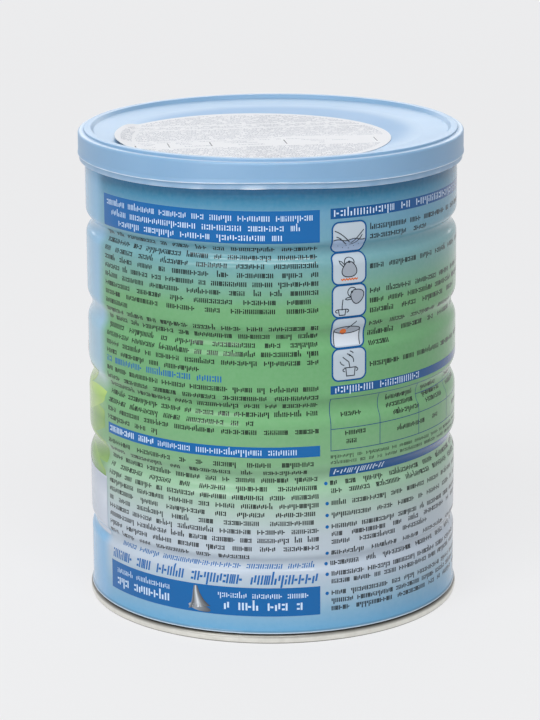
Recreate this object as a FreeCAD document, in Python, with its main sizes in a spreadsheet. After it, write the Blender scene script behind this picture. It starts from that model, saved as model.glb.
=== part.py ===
"""Infant formula can: a beaded tin with its seamed bottom end, a plastic overcap
and a round paper label on the overcap.

Millimetres, +Z up. The origin is the middle of the ring that the can stands on.
The front of the can faces -Y.
"""
import FreeCAD, Part
import os
from types import SimpleNamespace

import Sketcher

SIZES = [
    # the tin
    ("body_radius", 63.5, "outside radius of the straight wall"),
    ("can_height", 162.2, "over both seams, without the overcap"),
    ("seam_reach", 0.8, "how far a seam stands proud of the wall"),
    ("seam_width", 2.4, "thickness of the folded seam, measured outwards"),
    ("seam_height", 3.2, "height of the folded seam"),
    ("seam_round", 0.7, "rounding of the seam's corners"),
    # the rolled beads in the wall
    ("bead_drop", 1.2, "middle bead below the middle of the can"),
    ("bead_inner_step", 24.0, "middle bead to the next one up and down"),
    ("bead_outer_step", 52.7, "middle bead to the last one up and down"),
    ("bead_depth", 1.6, "depth of the three middle beads"),
    ("bead_half_width", 5.9, "half the width of the three middle beads"),
    ("top_bead_depth", 1.9, "depth of the top bead"),
    ("top_bead_half_width", 4.6, "half the width of the top bead"),
    ("low_bead_depth", 1.3, "depth of the lowest bead"),
    ("low_bead_half_width", 3.9, "half the width of the lowest bead"),
    # the bottom end
    ("end_core", 1.2, "thickness of the bottom end above its deepest groove"),
    ("groove_depth", 4.2, "ring groove inside the seam, above the floor"),
    ("groove_width", 2.6, "width of the ring groove"),
    ("groove_slope", 1.5, "run of the slopes beside the ring groove"),
    ("outer_panel_depth", 3.4, "outer panel above the floor"),
    ("inner_panel_depth", 2.6, "middle panel above the floor"),
    ("outer_panel_width", 12.3, "flat width of the outer panel"),
    ("panel_step", 2.0, "run of the step between the panels"),
    # the overcap
    ("lid_clearance", 0.25, "between the overcap and the seam inside it"),
    ("lid_wall", 1.1, "wall of the overcap"),
    ("shoulder_round", 0.9, "rounding of the overcap's shoulder"),
    ("skirt_drop", 6.2, "skirt's lower edge below the top of the seam"),
    ("skirt_flare", 0.2, "how far the skirt's lower edge spreads"),
    ("flare_height", 1.2, "height over which the skirt spreads"),
    ("lip_height", 2.2, "lip below the skirt's lower edge"),
    ("lip_inset", 0.5, "lip inside the skirt's face"),
    ("snap_gap", 1.0, "snap ridge below the seam that it grips"),
    ("snap_depth", 0.6, "how far the snap ridge stands in"),
    ("snap_half_height", 0.8, "half the height of the snap ridge"),
    ("ring_inset", 1.95, "stacking ring inside the overcap's face"),
    ("ring_width", 2.4, "width of the stacking ring"),
    ("ring_height", 0.85, "stacking ring above the ledge"),
    ("ring_round", 0.5, "rounding of the stacking ring"),
    ("ring_inside_drop", 1.25, "inside wall of the stacking ring"),
    ("ring_draft", 1.0, "lean of the inside wall of the stacking ring"),
    ("dish_width", 8.6, "width of the slope round the overcap's flat disc"),
    ("dish_depth", 0.85, "disc below the foot of the stacking ring"),
    ("panel_wall", 1.0, "thickness of the overcap's disc"),
    ("panel_gap", 0.35, "between the overcap's disc and the tin below it"),
    # the paper label on the overcap
    ("label_margin", 14.1, "slope's outer edge to the paper label, with both on one middle"),
    ("label_thickness", 0.2, "thickness of the paper label"),
    ("label_left", 5.8, "label's middle to the left of the axis"),
    ("label_front", 13.0, "label's middle in front of the axis"),
]


class Size:
    """A length that knows its number and the sheet expression that gives it."""

    def __init__(self, number, text):
        self.number = number
        self.text = text

    @staticmethod
    def of(value):
        return value if isinstance(value, Size) else Size(float(value), str(value))

    def __add__(self, other):
        other = Size.of(other)
        return Size(self.number + other.number, f"({self.text} + {other.text})")

    def __sub__(self, other):
        other = Size.of(other)
        return Size(self.number - other.number, f"({self.text} - {other.text})")

    def __mul__(self, other):
        other = Size.of(other)
        return Size(self.number * other.number, f"({self.text} * {other.text})")

    def __truediv__(self, other):
        other = Size.of(other)
        return Size(self.number / other.number, f"({self.text} / {other.text})")


AXIS = Size(0.0, "0")
FLOOR = Size(0.0, "0")


def make_sheet(doc):
    """Write the driving sizes as text cells with aliases, and return them as Sizes."""
    sheet = doc.addObject("Spreadsheet::Sheet", "Sizes")
    for row, (alias, value, meaning) in enumerate(SIZES, start=1):
        sheet.set(f"A{row}", alias)
        sheet.set(f"B{row}", str(value))
        sheet.set(f"C{row}", meaning)
        sheet.setAlias(f"B{row}", alias)
    doc.recompute()
    return SimpleNamespace(**{alias: Size(value, f"Sizes.{alias}") for alias, value, _ in SIZES})


class Outline:
    """A closed half section, walked point by point: x is the radius, z the height."""

    def __init__(self, x, z):
        self.points = [(x, z)]
        self.edges = []

    def line(self, x, z):
        self.edges.append(None)
        self.points.append((x, z))

    def arc(self, x, z, radius, turn):
        """An arc to (x, z); turn is +1 where the walk turns left, -1 where it turns right."""
        self.edges.append((radius, turn))
        self.points.append((x, z))

    def close(self):
        self.edges.append(None)


def arc_middle(start, end, radius, turn):
    """The point half way along the short arc from start to end."""
    chord = end - start
    across = FreeCAD.Vector(chord.y, -chord.x, 0).normalize()
    half = chord.Length / 2
    rise = radius - (max(radius * radius - half * half, 0.0)) ** 0.5
    return (start + end) / 2 + across * (rise * turn)


def draw(sketch, outline):
    """Put an outline into a sketch and bind every corner and radius to the sheet.

    A sketch keeps each arc anticlockwise, so one that turns right is drawn from its end.
    """
    corners = [FreeCAD.Vector(x.number, z.number, 0) for x, z in outline.points]
    count = len(corners)
    ends = []
    for index, edge in enumerate(outline.edges):
        start = corners[index]
        end = corners[(index + 1) % count]
        if edge is None:
            sketch.addGeometry(Part.LineSegment(start, end), False)
            ends.append((1, 2))
            continue
        radius, turn = edge
        middle = arc_middle(start, end, radius.number, turn)
        if turn > 0:
            sketch.addGeometry(Part.Arc(start, middle, end), False)
            ends.append((1, 2))
        else:
            sketch.addGeometry(Part.Arc(end, middle, start), False)
            ends.append((2, 1))
    for index in range(count):
        following = (index + 1) % count
        sketch.addConstraint(
            Sketcher.Constraint("Coincident", index, ends[index][1], following, ends[following][0])
        )
    for index, (x, z) in enumerate(outline.points):
        corner = (index, ends[index][0])
        place(sketch, corner, "DistanceX", x, -2)
        place(sketch, corner, "DistanceY", z, -1)
    for index, edge in enumerate(outline.edges):
        if edge is not None:
            bind(sketch, Sketcher.Constraint("Radius", index, edge[0].number), edge[0])


def place(sketch, corner, kind, size, axis):
    """Hold a corner on an axis where its size is nothing, and else at a bound distance."""
    if size.number == 0:
        sketch.addConstraint(Sketcher.Constraint("PointOnObject", *corner, axis))
    else:
        bind(sketch, Sketcher.Constraint(kind, -1, 1, *corner, size.number), size)


def bind(sketch, constraint, size):
    """Add a constraint and drive its value from the sheet."""
    number = sketch.addConstraint(constraint)
    sketch.setExpression(f"Constraints[{number}]", size.text)


def turned_body(doc, name, outline):
    """A PartDesign body made by turning an outline once about the vertical axis."""
    body = doc.addObject("PartDesign::Body", name)
    body.Label = name
    plane = next(item for item in body.Origin.OriginFeatures if item.Role == "XZ_Plane")
    sketch = body.newObject("Sketcher::SketchObject", f"{name}_section")
    sketch.AttachmentSupport = [(plane, "")]
    sketch.MapMode = "FlatFace"
    draw(sketch, outline)
    doc.recompute()
    turned = body.newObject("PartDesign::Revolution", f"{name}_turned")
    turned.Profile = sketch
    turned.ReferenceAxis = (sketch, ["V_Axis"])
    turned.Angle = 360
    body.Tip = turned
    return body


def seam_inside(s):
    """Radius of a seam's inner face."""
    return s.body_radius + s.seam_reach - s.seam_width


def seam_rest(s):
    """Radius where the wall stands on the bottom seam, inside the wall's face."""
    return seam_inside(s) + s.seam_round


def end_top(s):
    """Height of the bottom end's upper face, where the contents start."""
    return s.groove_depth + s.end_core


def can_floor(s):
    """Height of the tin's top under the overcap's disc."""
    return disc_height(s) - s.panel_wall - s.panel_gap


def dish_foot(s):
    """Height of the foot of the stacking ring's inside wall."""
    return s.can_height + s.lid_wall + s.ring_height - s.ring_inside_drop


def disc_height(s):
    """Height of the overcap's flat disc."""
    return dish_foot(s) - s.dish_depth


def lid_radius(s):
    """Radius of the overcap's face."""
    return s.body_radius + s.seam_reach + s.lid_clearance + s.lid_wall


def dish_radius(s):
    """Radius of the foot of the stacking ring's inside wall."""
    return lid_radius(s) - s.ring_inset - s.ring_width - s.ring_draft


def disc_radius(s):
    """Radius of the overcap's flat disc."""
    return dish_radius(s) - s.dish_width


def label_radius(s):
    """Radius of the paper label."""
    return dish_radius(s) - s.label_margin


def beads(s):
    """Height, depth and half width of each bead, from the lowest up."""
    middle = s.can_height / 2 - s.bead_drop
    return [
        (middle - s.bead_outer_step, s.low_bead_depth, s.low_bead_half_width),
        (middle - s.bead_inner_step, s.bead_depth, s.bead_half_width),
        (middle, s.bead_depth, s.bead_half_width),
        (middle + s.bead_inner_step, s.bead_depth, s.bead_half_width),
        (middle + s.bead_outer_step, s.top_bead_depth, s.top_bead_half_width),
    ]


def roll_bead(outline, wall, height, depth, half_width):
    """A bead as a smooth wave of equal arcs: shoulder, hollow, shoulder.

    An arc that moves in by half the depth over half the half width, and meets the
    wall without a corner, has the radius (half_width^2 + depth^2) / (4 * depth).
    """
    radius = (half_width * half_width + depth * depth) / (depth * 4)
    waist = wall - depth / 2
    quarter = half_width / 2
    outline.line(wall, height - half_width)
    outline.arc(waist, height - quarter, radius, +1)
    outline.arc(waist, height + quarter, radius, -1)
    outline.arc(wall, height + half_width, radius, +1)


def can_body_outline(s):
    """The filled tin: the wall with its beads, and the seam that the overcap grips."""
    seam = s.body_radius + s.seam_reach
    crown = s.can_height
    outline = Outline(AXIS, end_top(s))
    outline.line(seam_rest(s), end_top(s))
    outline.line(seam_rest(s), s.seam_height)
    outline.line(s.body_radius, s.seam_height)
    for height, depth, half_width in beads(s):
        roll_bead(outline, s.body_radius, height, depth, half_width)
    outline.line(s.body_radius, crown - s.seam_height)
    outline.line(seam, crown - s.seam_height + s.seam_round)
    outline.line(seam, crown - s.seam_round)
    outline.arc(seam - s.seam_round, crown, s.seam_round, +1)
    outline.line(seam_inside(s) + s.seam_round, crown)
    outline.arc(seam_inside(s), crown - s.seam_round, s.seam_round, +1)
    outline.line(seam_inside(s), can_floor(s))
    outline.line(AXIS, can_floor(s))
    outline.close()
    return outline


def bottom_end_outline(s):
    """The bottom end: middle panel, outer panel, ring groove and folded seam."""
    seam = s.body_radius + s.seam_reach
    inside = seam_inside(s)
    groove_in = inside - s.groove_slope - s.groove_width
    outer_panel = groove_in - s.groove_slope
    step_foot = outer_panel - s.outer_panel_width
    outline = Outline(AXIS, s.inner_panel_depth)
    outline.line(step_foot - s.panel_step, s.inner_panel_depth)
    outline.line(step_foot, s.outer_panel_depth)
    outline.line(outer_panel, s.outer_panel_depth)
    outline.line(groove_in, s.groove_depth)
    outline.line(groove_in + s.groove_width, s.groove_depth)
    outline.line(inside, s.outer_panel_depth)
    outline.line(inside, s.seam_round)
    outline.arc(inside + s.seam_round, FLOOR, s.seam_round, +1)
    outline.line(seam - s.seam_round, FLOOR)
    outline.arc(seam, s.seam_round, s.seam_round, +1)
    outline.line(seam, s.seam_height - s.seam_round)
    outline.arc(seam - s.seam_round, s.seam_height, s.seam_round, +1)
    outline.line(seam_rest(s), s.seam_height)
    outline.line(seam_rest(s), end_top(s))
    outline.line(AXIS, end_top(s))
    outline.close()
    return outline


def lid_outline(s):
    """The overcap: skirt with its lip and snap ridge, ledge, stacking ring and dished disc."""
    face = lid_radius(s)
    bore = face - s.lid_wall
    seat = s.can_height
    ledge = seat + s.lid_wall
    crest = ledge + s.ring_height
    ring_out = face - s.ring_inset
    ring_in = ring_out - s.ring_width
    skirt_edge = seat - s.skirt_drop
    lip_edge = skirt_edge - s.lip_height
    snap = seat - s.seam_height - s.snap_gap
    plug = seam_inside(s) - s.lid_clearance
    underside = disc_height(s) - s.panel_wall
    outline = Outline(AXIS, underside)
    outline.line(disc_radius(s), underside)
    outline.line(plug - s.lid_wall, underside + s.dish_depth / 2)
    outline.line(plug, seat)
    outline.line(bore, seat)
    outline.line(bore, snap + s.snap_half_height)
    outline.line(bore - s.snap_depth, snap)
    outline.line(bore, snap - s.snap_half_height)
    outline.line(bore, skirt_edge)
    outline.line(bore - s.lid_clearance, lip_edge)
    outline.line(face - s.lip_inset, lip_edge)
    outline.line(face - s.lip_inset, skirt_edge)
    outline.line(face + s.skirt_flare, skirt_edge)
    outline.line(face, skirt_edge + s.flare_height)
    outline.line(face, ledge - s.shoulder_round)
    outline.arc(face - s.shoulder_round, ledge, s.shoulder_round, +1)
    outline.line(ring_out, ledge)
    outline.line(ring_out, crest - s.ring_round)
    outline.arc(ring_out - s.ring_round, crest, s.ring_round, +1)
    outline.line(ring_in + s.ring_round, crest)
    outline.arc(ring_in, crest - s.ring_round, s.ring_round, +1)
    outline.line(dish_radius(s), dish_foot(s))
    outline.line(disc_radius(s), disc_height(s))
    outline.line(AXIS, disc_height(s))
    outline.close()
    return outline


def label_skin_outline(s):
    """A thin layer all over the overcap's dish, from which the label is cut."""
    outline = Outline(AXIS, disc_height(s))
    outline.line(disc_radius(s), disc_height(s))
    outline.line(dish_radius(s), dish_foot(s))
    outline.line(dish_radius(s), dish_foot(s) + s.label_thickness)
    outline.line(disc_radius(s), disc_height(s) + s.label_thickness)
    outline.line(AXIS, disc_height(s) + s.label_thickness)
    outline.close()
    return outline


def make_label(doc, s):
    """The round paper label, off the middle, bent up where it reaches the dish's slope."""
    skin = turned_body(doc, "label_skin", label_skin_outline(s))
    punch = doc.addObject("Part::Cylinder", "label_punch")
    punch.setExpression("Radius", label_radius(s).text)
    punch.setExpression("Height", s.can_height.text)
    punch.setExpression("Placement.Base.x", f"-{s.label_left.text}")
    punch.setExpression("Placement.Base.y", f"-{s.label_front.text}")
    punch.setExpression("Placement.Base.z", (s.can_height / 2).text)
    label = doc.addObject("Part::Common", "lid_sticker")
    label.Base = skin
    label.Tool = punch
    label.Label = "lid_sticker"
    return label


def check(doc, parts):
    """Stop if any object failed to compute or any sub-part has no sound shape."""
    for item in doc.Objects:
        if "Invalid" in item.State or "Error" in item.State:
            raise RuntimeError(f"{item.Name} failed: {item.State}")
    for part in parts:
        if part.Shape.isNull() or not part.Shape.isValid() or len(part.Shape.Solids) != 1:
            raise RuntimeError(f"{part.Label} has no sound solid")


def main():
    doc = FreeCAD.newDocument("FormulaCan")
    s = make_sheet(doc)
    parts = [
        turned_body(doc, "can_body", can_body_outline(s)),
        turned_body(doc, "bottom_end", bottom_end_outline(s)),
        turned_body(doc, "lid", lid_outline(s)),
        make_label(doc, s),
    ]
    doc.recompute()
    check(doc, parts)
    os.makedirs("parts", exist_ok=True)
    for part in parts:
        part.Shape.exportStep(f"parts/{part.Label}.step")
        box = part.Shape.optimalBoundingBox()
        print(f"{part.Label}: {part.Shape.Volume:.0f} mm3, z {box.ZMin:.2f} to {box.ZMax:.2f}, "
              f"width {box.XLength:.2f}")


main()
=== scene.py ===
# The infant formula can: a printed, beaded tin, its pale blue overcap and the paper label
# on that. Sizes are millimetres until put_mesh() turns them into metres.
#
# Print is laid out on the flat sheet that the wall was rolled from: `a` runs round the
# can from its front, rightwards as seen, and `s` runs up the sheet. bend() wraps it over
# the beads.
import math

import bpy
import numpy as np
from mathutils import Matrix, Vector


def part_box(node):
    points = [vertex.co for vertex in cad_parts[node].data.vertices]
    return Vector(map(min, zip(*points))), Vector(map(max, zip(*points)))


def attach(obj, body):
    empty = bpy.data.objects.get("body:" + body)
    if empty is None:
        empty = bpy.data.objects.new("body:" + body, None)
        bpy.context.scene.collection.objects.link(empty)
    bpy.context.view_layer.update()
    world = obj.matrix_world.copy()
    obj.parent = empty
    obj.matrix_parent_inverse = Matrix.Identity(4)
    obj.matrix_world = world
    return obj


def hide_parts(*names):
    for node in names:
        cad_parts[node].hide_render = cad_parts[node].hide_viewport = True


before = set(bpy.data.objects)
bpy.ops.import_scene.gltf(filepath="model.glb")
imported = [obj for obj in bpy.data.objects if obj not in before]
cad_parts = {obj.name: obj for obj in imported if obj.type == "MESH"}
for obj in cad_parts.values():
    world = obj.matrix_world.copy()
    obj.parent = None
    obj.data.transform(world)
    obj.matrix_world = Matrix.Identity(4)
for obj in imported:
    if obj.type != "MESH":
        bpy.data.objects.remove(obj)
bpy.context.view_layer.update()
MM = 0.001


def corner_of(node, which):
    """The lowest (0) or highest (1) corner of a CAD node, in millimetres."""
    return np.array(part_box(node)[which]) / MM


# ------------------------------------------------------------------ sizes, in millimetres
SEAM_RADIUS = corner_of("bottom_end", 1)[0]
CAN_TOP = corner_of("can_body", 1)[2]
END_TOP = corner_of("bottom_end", 1)[2]
LID_TOP = corner_of("lid", 1)[2]

SEAM_REACH = 0.8
SEAM_WIDTH = 2.4
SEAM_HEIGHT = 3.2
SEAM_ROUND = 0.7
WALL_RADIUS = SEAM_RADIUS - SEAM_REACH
SEAM_INSIDE = SEAM_RADIUS - SEAM_WIDTH

MIDDLE_BEAD = CAN_TOP / 2 - 1.2
BEADS = (  # height, depth, half width
    (MIDDLE_BEAD - 52.7, 1.3, 3.9),
    (MIDDLE_BEAD - 24.0, 1.6, 5.9),
    (MIDDLE_BEAD, 1.6, 5.9),
    (MIDDLE_BEAD + 24.0, 1.6, 5.9),
    (MIDDLE_BEAD + 52.7, 1.9, 4.6),
)

LID_CLEARANCE = 0.25
LID_WALL = 1.1
LID_FACE = SEAM_RADIUS + LID_CLEARANCE + LID_WALL
LID_BORE = LID_FACE - LID_WALL
SKIRT_EDGE = CAN_TOP - 6.6
LIP_EDGE = CAN_TOP - 8.6
LEDGE = CAN_TOP + LID_WALL
RING_OUT = LID_FACE - 1.95
RING_IN = RING_OUT - 2.4
DISH_RADIUS = RING_IN - 1.0
DISH_FOOT = LID_TOP - 1.25
DISC_RADIUS = DISH_RADIUS - 8.6
DISC = DISH_FOOT - 0.85
DISC_WALL = 1.0
DISC_UNDER = DISC - DISC_WALL
DISC_GAP = 0.35  # between the overcap's disc and the tin's floor below it

LABEL_MIDDLE = (-6.3, -14.1)
LABEL_RADIUS = 46.7
LABEL_FOLD = -45.8  # x of the fold past which the label's left edge has lifted
LABEL_TURN = math.radians(8.4)
LABEL_THICKNESS = 0.18
LABEL_HELD = 58.0  # from the axis, past which the stacking ring holds the label in

# The printed sheet: its welded ends meet right of the information panel.
GIRTH = 2 * math.pi * WALL_RADIUS
WELD = 114.0
PANEL_LEFT = -68.8
PANEL_RIGHT = 108.5
LEFT_COLUMN = (-67.4, 15.8)
RIGHT_COLUMN = (19.4, 105.5)
FRONT_MIDDLE = (PANEL_LEFT + WELD - GIRTH) / 2

AROUND = 360  # columns round each turned piece
ANGLE = np.arange(AROUND) * 2 * math.pi / AROUND  # of each column, from the front


# ------------------------------------------------------------------ the wall's curve
def wall_inset(height):
    """How far the beads take the wall inside its straight face.

    Each bead is three arcs of radius (w^2 + d^2) / (4 d), for half width w and depth d:
    a shoulder that leaves the wall without a corner, the hollow, and a shoulder again.
    """
    inset = np.zeros_like(height)
    for middle, depth, half_width in BEADS:
        away = np.abs(height - middle)
        radius = (half_width**2 + depth**2) / (4 * depth)
        to_edge = np.clip(half_width - away, 0, half_width / 2)
        to_middle = np.clip(away, 0, half_width / 2)
        shoulder = radius - np.sqrt(radius**2 - to_edge**2)
        hollow = depth - radius + np.sqrt(radius**2 - to_middle**2)
        inset += np.where(away < half_width / 2, hollow, shoulder)
    return inset


CURVE_HEIGHT = np.linspace(0, CAN_TOP, 6001)
CURVE_RADIUS = WALL_RADIUS - wall_inset(CURVE_HEIGHT)
CURVE_SLOPE = np.gradient(CURVE_RADIUS, CURVE_HEIGHT)
CURVE_LENGTH = np.append(0, np.cumsum(np.hypot(np.diff(CURVE_HEIGHT), np.diff(CURVE_RADIUS))))


def bend(flat, lift):
    """Points of the flat sheet put on the wall, `lift` off it, with the wall's normals.

    The angle is a / wall radius; radius and height are the wall curve's at length s.
    """
    angle = flat[:, 0] / WALL_RADIUS
    slope = np.interp(flat[:, 1], CURVE_LENGTH, CURVE_SLOPE)
    outward = 1 / np.hypot(1, slope)
    upward = -slope * outward
    radius = np.interp(flat[:, 1], CURVE_LENGTH, CURVE_RADIUS) + lift * outward
    height = np.interp(flat[:, 1], CURVE_LENGTH, CURVE_HEIGHT) + lift * upward
    sine, cosine = np.sin(angle), -np.cos(angle)
    points = np.stack([radius * sine, radius * cosine, height], -1)
    normals = np.stack([outward * sine, outward * cosine, upward], -1)
    return points, normals


# ------------------------------------------------------------------ meshes
def put_mesh(name, points, groups, finish, normals=None, sharp=35):
    """One object from points and groups of faces; each group is an array of corner numbers.

    It is shaded smooth, with the given normals or else with edges over `sharp` degrees kept.
    """
    lengths = np.concatenate([np.full(len(group), group.shape[1]) for group in groups])
    corners = np.concatenate([group.ravel() for group in groups])
    mesh = bpy.data.meshes.new(name)
    mesh.vertices.add(len(points))
    mesh.vertices.foreach_set("co", (points * MM).ravel())
    mesh.loops.add(len(corners))
    mesh.loops.foreach_set("vertex_index", corners.astype(np.int32))
    mesh.polygons.add(len(lengths))
    mesh.polygons.foreach_set("loop_start", (np.cumsum(lengths) - lengths).astype(np.int32))
    mesh.update(calc_edges=True)
    mesh.validate()
    mesh.shade_smooth()
    if normals is None:
        mesh.set_sharp_from_angle(angle=math.radians(sharp))
    else:
        mesh.normals_split_custom_set_from_vertices(normals)
    mesh.materials.append(finish)
    piece = bpy.data.objects.new(name, mesh)
    bpy.context.scene.collection.objects.link(piece)
    return piece


def ring_faces(rows, columns):
    """Four-sided faces between neighbouring rings of points, each ring joined up."""
    row, column = np.meshgrid(np.arange(rows - 1), np.arange(columns), indexing="ij")
    beside = (column + 1) % columns
    here = row * columns
    above = here + columns
    return np.stack([here + column, here + beside, above + beside, above + column], -1).reshape(-1, 4)


def shell(name, rings, first, last, finish, sharp=35):
    """A closed piece from rings of points (rows x columns x 3) and a middle point at each end."""
    rows, columns = rings.shape[:2]
    points = np.concatenate([rings.reshape(-1, 3), [first, last]])
    column = np.arange(columns)
    beside = (column + 1) % columns
    start, end = rows * columns, rows * columns + 1
    top = (rows - 1) * columns
    first_fan = np.stack([np.full(columns, start), beside, column], -1)
    last_fan = np.stack([np.full(columns, end), top + column, top + beside], -1)
    return put_mesh(name, points, [ring_faces(rows, columns), first_fan, last_fan], finish, sharp=sharp)


def rounded(corners, step=0.18):
    """Points along a path with corners (x, z, rounding).

    The arc of radius r at a corner that turns by t leaves the sides r tan(t / 2) from the corner.
    """
    corners = np.array(corners, float)
    path = [corners[:1, :2]]
    for before, corner, after in zip(corners[:-2], corners[1:-1], corners[2:]):
        into = (corner - before)[:2] / np.hypot(*(corner - before)[:2])
        out = (after - corner)[:2] / np.hypot(*(after - corner)[:2])
        turn = math.atan2(into[0] * out[1] - into[1] * out[0], into @ out)
        radius = corner[2]
        if radius == 0 or abs(turn) < 1e-6:
            path.append(corner[None, :2])
            continue
        start = corner[:2] - into * radius * math.tan(abs(turn) / 2)
        side = math.copysign(radius, turn) * np.array([-into[1], into[0]])
        angle = np.linspace(0, turn, max(5, int(radius * abs(turn) / step) + 2))[:, None]
        path.append(start + side - side * np.cos(angle) + into * radius * np.abs(np.sin(angle)))
    path.append(corners[-1:, :2])
    return np.concatenate(path)


def turned(profile):
    """Rings of points: each (radius, height) of the profile carried round the axis."""
    radius, height = profile[:, :1], profile[:, 1:]
    axes = np.broadcast_arrays(radius * np.sin(ANGLE), -radius * np.cos(ANGLE), height)
    return np.stack(axes, -1)


def give_numbers(piece, name, values):
    """An attribute with one number at each point of a piece."""
    layer = piece.data.attributes.new(name, "FLOAT", "POINT")
    layer.data.foreach_set("value", values.astype(np.float32))


# ------------------------------------------------------------------ shaders
class Value:
    """An output in a node tree; arithmetic on it adds Math nodes."""

    def __init__(self, tree, socket):
        self.tree = tree
        self.socket = socket

    def math(self, operation, *others, **settings):
        """Add a Math node whose inputs are this value and the others."""
        inputs = dict(enumerate((self, *others)))
        return add_node(self.tree, "ShaderNodeMath", dict(operation=operation, **settings), inputs)

    def __add__(self, other):
        return self.math("ADD", other)

    def __mul__(self, other):
        return self.math("MULTIPLY", other)

    def __sub__(self, other):
        return self.math("SUBTRACT", other)

    def __truediv__(self, other):
        return self.math("DIVIDE", other)

    def step(self, low, high):
        """0 below `low`, 1 above `high`, and a smooth rise between; a fall if low > high."""
        settings = dict(interpolation_type="SMOOTHSTEP")
        sockets = {"Value": self, "From Min": low, "From Max": high}
        return add_node(self.tree, "ShaderNodeMapRange", settings, sockets)


def add_node(tree, kind, settings=None, sockets=None, output=0):
    """Add a node: its settings first, then its sockets' values or links; gives one output."""
    node = tree.nodes.new(kind)
    for key, value in (settings or {}).items():
        if key == "stops":
            set_stops(node.color_ramp, value)
        else:
            setattr(node, key, value)
    for key, value in (sockets or {}).items():
        if isinstance(value, Value):
            tree.links.new(value.socket, node.inputs[key])
        else:
            node.inputs[key].default_value = value
    return Value(tree, node.outputs[output]) if node.outputs else None


def set_stops(ramp, stops):
    """Give a colour ramp its stops, pairs of place and colour."""
    while len(ramp.elements) < len(stops):
        ramp.elements.new(1.0)
    for element, (place, colour) in zip(ramp.elements, stops):
        element.position = place
        element.color = colour


def blend(first, second, factor):
    """Mix two colours by a factor."""
    inputs = {0: factor, 6: first, 7: second}
    tree = next(value.tree for value in inputs.values() if isinstance(value, Value))
    return add_node(tree, "ShaderNodeMix", dict(data_type="RGBA"), inputs, output=2)


def screen(red, green, blue):
    """A colour in screen values of 0 to 255, as the linear values that shaders take."""
    value = np.array([red, green, blue]) / 255
    linear = np.where(value <= 0.04045, value / 12.92, ((value + 0.055) / 1.055) ** 2.4)
    return (*linear.tolist(), 1.0)


def new_finish(name):
    """A bare material and its node tree."""
    material = bpy.data.materials.new(name)
    material.use_nodes = True
    material.node_tree.nodes.clear()
    return material, material.node_tree


def noise(tree, size, detail=2.0, stretch=(1, 1, 1)):
    """Noise with lumps about `size` millimetres across, longer along axes with stretch over 1."""
    place = add_node(tree, "ShaderNodeTexCoord", output="Object")
    scale = tuple(1 / (size * MM * factor) for factor in stretch)
    place = add_node(tree, "ShaderNodeMapping", None, {"Vector": place, "Scale": scale})
    return add_node(tree, "ShaderNodeTexNoise", None, {"Vector": place, "Scale": 1.0, "Detail": detail})


def relief(tree, height, depth, **under):
    """A bump from a height of 0 to 1 that stands for `depth` millimetres, over a Normal if given."""
    return add_node(tree, "ShaderNodeBump", None, dict(Height=height, Distance=depth * MM, **under))


def skin(tree, **sockets):
    """The surface shader, with its sockets by name (spaces as underscores), joined to the output."""
    sockets = {key.replace("_", " "): value for key, value in sockets.items()}
    surface = add_node(tree, "ShaderNodeBsdfPrincipled", None, sockets)
    add_node(tree, "ShaderNodeOutputMaterial", None, {"Surface": surface})


def parts_of(vector):
    """The three numbers of a vector."""
    split = add_node(vector.tree, "ShaderNodeSeparateXYZ", None, {"Vector": vector})
    return [Value(vector.tree, socket) for socket in split.socket.node.outputs]


def number_at_points(tree, name):
    """The attribute that give_numbers() made."""
    return add_node(tree, "ShaderNodeAttribute", dict(attribute_name=name), output="Fac")


# ------------------------------------------------------------------ finishes
INKS = {  # red, green and blue on the screen, and roughness if not VARNISHED
    "black": (0, 4, 8),
    "blue": (14, 94, 160),
    "bar": (0, 92, 156, 0.2),
    "deep_bar": (0, 76, 134, 0.2),
    "white": (194, 214, 236),
    "line": (28, 66, 120),
    "icon_ground": (174, 187, 198),
    "icon_water": (150, 170, 198),
    "icon_tin": (198, 206, 216),
    "icon_grey": (148, 157, 168),
    "icon_orange": (206, 104, 40),
    "icon_line": (34, 40, 50),
    "badge": (236, 240, 245),
    "label_print": (130, 138, 154, 0.6),
    "label_rule": (40, 44, 60, 0.6),
}
VARNISHED = 0.22

# The grounds from the foot of the sheet up: s in millimetres, then red, green and blue.
# Each starts with a pale line and then a dark band, which is painted shade in the crease above
# the bottom seam; the darker stops at the top are painted shade under the overcap's skirt.
PANEL_GROUND_AND_SHADE = (
    (3.3, 220, 230, 238), (3.6, 220, 230, 238), (3.7, 66, 104, 130), (4.4, 92, 156, 196),
    (11, 124, 165, 192), (17, 155, 178, 194), (24, 174, 186, 200), (38, 172, 184, 192),
    (45, 161, 182, 174), (54, 137, 176, 145), (64, 110, 157, 114), (76, 101, 157, 105),
    (100, 93, 153, 99), (117, 97, 153, 103), (124, 103, 153, 135), (131, 99, 149, 153),
    (140, 95, 146, 165), (149, 90, 143, 172), (152.5, 44, 120, 154), (154.5, 14, 100, 136),
    (157, 12, 100, 146),
)
FRONT_GROUND_AND_SHADE = (
    (3.3, 220, 230, 238), (3.6, 220, 230, 238), (3.7, 72, 108, 134), (4.4, 110, 163, 204),
    (26, 116, 170, 210), (31, 156, 185, 208), (46, 156, 184, 196), (51, 104, 150, 96),
    (62, 108, 156, 100), (78, 132, 172, 118), (85, 160, 192, 196), (90, 141, 178, 198),
    (120, 130, 174, 204), (151, 114, 165, 200), (157, 84, 148, 190),
)
SHEET_HEIGHT = 166.0
GLOW_MIDDLE = 112.0  # the pale glow behind the front's badge, up the sheet
GLOW_HALF_WIDTH, GLOW_HALF_HEIGHT = 92.0, 46.0
ROLL_LINE = 0.22  # from one seaming-roll line to the next
VARNISH = dict(Specular_IOR_Level=0.15, Coat_Weight=0.35, Coat_Roughness=0.045)


def sheet_ripple(tree):
    """The slight waviness of rolled, varnished tin: long swells and a fine orange peel."""
    swell = relief(tree, noise(tree, 26, detail=1.0, stretch=(1, 1, 2.2)), 0.10)
    return relief(tree, noise(tree, 0.9), 0.002, Normal=swell)


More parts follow.
